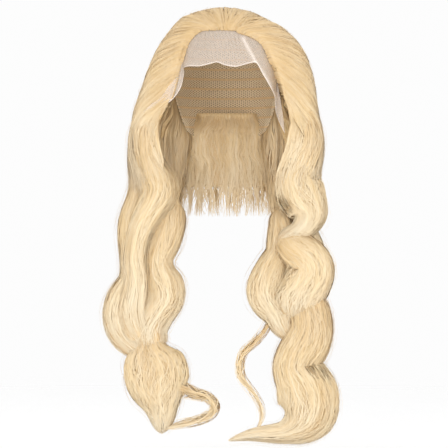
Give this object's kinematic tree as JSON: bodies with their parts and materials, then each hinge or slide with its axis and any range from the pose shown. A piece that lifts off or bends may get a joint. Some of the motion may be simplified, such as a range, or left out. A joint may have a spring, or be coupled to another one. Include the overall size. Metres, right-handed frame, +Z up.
{
  "type": "lace front wig",
  "caption": "Long blonde body-wave lace front wig with a hollow cap, sheer lace over the brow, and hair brought forward in two falls.",
  "frame": {"origin": "top of the inside of the cap, where the head that wears it touches it", "axes": "+Z up through the crown, -Y the way the face looks, +X towards the right of the front view"},
  "size_m": [0.3052, 0.2216, 0.5647],
  "materials": {
    "blonde_hair": "soft sheen",
    "sheer_lace": "matt, sheer",
    "cap_net": "matt, netted",
    "comb_plastic": "satin"
  },
  "bodies": {
    "root": {"cap": "cap_net", "front_lace": "sheer_lace", "temple_comb": "comb_plastic", "crown_hair": "blonde_hair", "left_fall": "blonde_hair", "right_fall": "blonde_hair", "nape_hair": "blonde_hair"}
  },
  "joints": []
}
